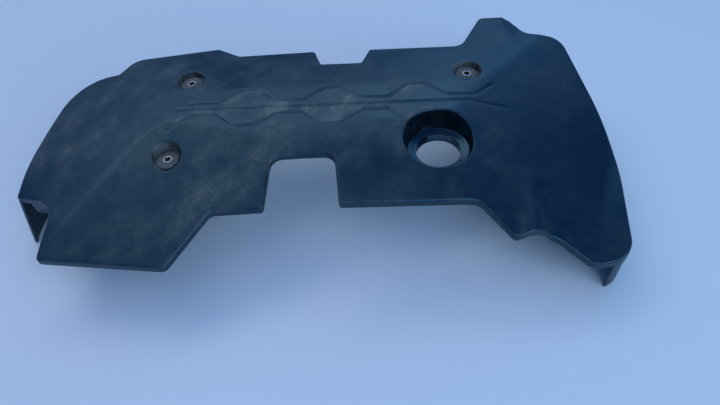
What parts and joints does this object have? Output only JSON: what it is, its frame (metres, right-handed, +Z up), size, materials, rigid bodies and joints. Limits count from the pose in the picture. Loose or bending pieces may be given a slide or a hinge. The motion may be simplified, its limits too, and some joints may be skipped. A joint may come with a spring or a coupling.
{
  "type": "engine cover",
  "caption": "Moulded black plastic engine cover with sloped ends, open notches, a filler cup and grooved band, held by screws through rubber-mounted sleeves.",
  "frame": {"origin": "middle of the overall box in plan, at the height of the lowest edges of the two end skirts", "axes": "+X to the right along the length, +Y to the rear edge with the small notch, +Z up out of the grooved deck"},
  "size_m": [0.6902, 0.348, 0.122],
  "materials": {
    "cover_plastic": "satin moulded black plastic with a thin film of dust",
    "grommet_rubber": "dusty matt rubber",
    "sleeve_steel": "plated steel, turned"
  },
  "bodies": {
    "root": {"cover_shell": "cover_plastic", "grommets": "grommet_rubber", "sleeve_rear_left": "sleeve_steel", "sleeve_front_left": "sleeve_steel", "sleeve_rear_right": "sleeve_steel"}
  },
  "joints": []
}
